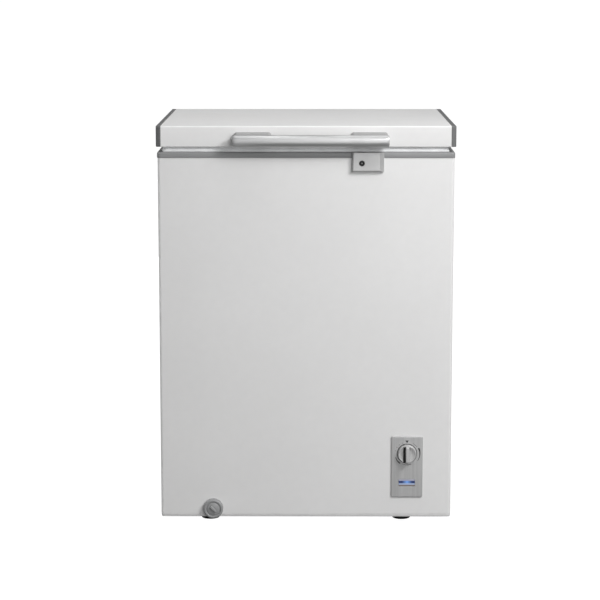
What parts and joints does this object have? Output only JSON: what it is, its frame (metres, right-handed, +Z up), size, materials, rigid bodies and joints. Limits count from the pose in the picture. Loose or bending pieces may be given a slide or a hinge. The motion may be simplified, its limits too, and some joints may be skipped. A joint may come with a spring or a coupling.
{
  "type": "chest freezer",
  "caption": "Small chest freezer: insulated steel cabinet, hinged lid with pull handle and key lock, thermostat panel, drain, wire basket and rear machine bay.",
  "frame": {"origin": "centre of the object's footprint box on the floor, under the feet", "axes": "+X to the right as seen from the front, +Y from the handle to the hinges, +Z up"},
  "size_m": [0.624, 0.566, 0.85],
  "materials": {
    "white_paint": "satin",
    "grey_trim": "satin",
    "silver_plastic": "satin",
    "drain_plastic": "satin",
    "white_plastic": "satin",
    "brushed_aluminium": "satin",
    "gasket": "matte",
    "liner": "satin",
    "lid_liner_plastic": "satin",
    "pu_foam": "matte",
    "zinc_steel": "satin",
    "chrome": "polished",
    "black_steel": "satin",
    "black_plastic": "matte",
    "black_rubber": "matte",
    "copper": "satin",
    "indicator_lens": "gloss",
    "coated_wire": "satin"
  },
  "bodies": {
    "cabinet": {"cabinet_shell": "white_paint", "rear_panel": "white_paint", "rim_trim": "grey_trim", "lock_housing": "silver_plastic", "control_panel": "silver_plastic", "drain_pipe": "drain_plastic", "hinge_cover_left": "white_plastic", "hinge_cover_right": "white_plastic", "inner_liner": "liner", "foam_insulation": "pu_foam", "bottom_plate": "zinc_steel", "compressor_tray": "zinc_steel", "machine_bay_wall": "zinc_steel", "hinge_base_left": "zinc_steel", "hinge_base_right": "zinc_steel", "hinge_pin_left": "zinc_steel", "hinge_pin_right": "zinc_steel", "hinge_spring_left": "zinc_steel", "hinge_spring_right": "zinc_steel", "rear_roller_bracket_left": "zinc_steel", "rear_roller_bracket_right": "zinc_steel", "condenser_coil": "zinc_steel", "compressor": "black_steel", "starter_cover": "black_plastic", "rear_grille": "black_plastic", "thermostat_body": "black_plastic", "compressor_grommet_1": "black_rubber", "compressor_grommet_2": "black_rubber", "compressor_grommet_3": "black_rubber", "compressor_grommet_4": "black_rubber", "cord_gland": "black_rubber", "front_foot_left": "black_rubber", "front_foot_right": "black_rubber", "suction_tube": "copper", "discharge_tube": "copper", "filter_drier": "copper", "capillary_tube": "copper", "evaporator_coil": "copper", "indicator_window": "indicator_lens"},
    "lid": {"lid_skin": "white_paint", "lid_trim_left": "grey_trim", "lid_trim_right": "grey_trim", "lid_liner": "lid_liner_plastic", "lid_foam": "pu_foam", "lid_gasket": "gasket", "handle_bar": "brushed_aluminium", "handle_mount_left": "silver_plastic", "handle_mount_right": "silver_plastic", "hinge_arm_left": "zinc_steel", "hinge_arm_right": "zinc_steel"},
    "thermostat_knob": {"thermostat_knob": "silver_plastic", "thermostat_shaft": "zinc_steel"},
    "lock": {"lock_cylinder": "chrome", "lock_cam": "zinc_steel"},
    "drain_spout": {"drain_spout": "drain_plastic"},
    "drain_cap": {"drain_cap": "drain_plastic"},
    "drain_plug": {"drain_plug": "drain_plastic"},
    "basket": {"wire_basket": "coated_wire"},
    "roller_left": {"rear_roller_wheel_left": "black_rubber"},
    "roller_right": {"rear_roller_wheel_right": "black_rubber"}
  },
  "joints": [
    {"name": "lid_hinge", "type": "hinge", "parent": "cabinet", "child": "lid", "pos_m": [0, 0.274, 0.8], "axis": [-1, 0, 0], "range_deg": [0, 85], "stiffness_Nm_per_rad": 5.7, "springref_deg": 84.8},
    {"name": "thermostat_turn", "type": "hinge", "parent": "cabinet", "child": "thermostat_knob", "pos_m": [0.215, -0.2478, 0.154], "axis": [0, -1, 0], "range_deg": [-140, 140]},
    {"name": "lock_turn", "type": "hinge", "parent": "cabinet", "child": "lock", "pos_m": [0.116, -0.256, 0.7727], "axis": [0, -1, 0], "range_deg": [0, 90]},
    {"name": "drain_pull", "type": "slide", "parent": "cabinet", "child": "drain_spout", "axis": [0, -1, 0], "range_m": [0, 0.025]},
    {"name": "drain_turn", "type": "hinge", "parent": "drain_spout", "child": "drain_cap", "pos_m": [-0.1976, -0.25, 0.034], "axis": [0, -1, 0], "range_deg": [0, 180]},
    {"name": "drain_plug_lift", "type": "slide", "parent": "cabinet", "child": "drain_plug", "axis": [0, 0, 1], "range_m": [0, 0.04]},
    {"name": "basket_slide", "type": "slide", "parent": "cabinet", "child": "basket", "axis": [-1, 0, 0], "range_m": [0, 0.3]},
    {"name": "roller_left_spin", "type": "hinge", "parent": "cabinet", "child": "roller_left", "pos_m": [-0.206, 0.215, 0.011], "axis": [1, 0, 0], "continuous": true},
    {"name": "roller_right_spin", "type": "hinge", "parent": "cabinet", "child": "roller_right", "pos_m": [0.206, 0.215, 0.011], "axis": [1, 0, 0], "continuous": true}
  ]
}
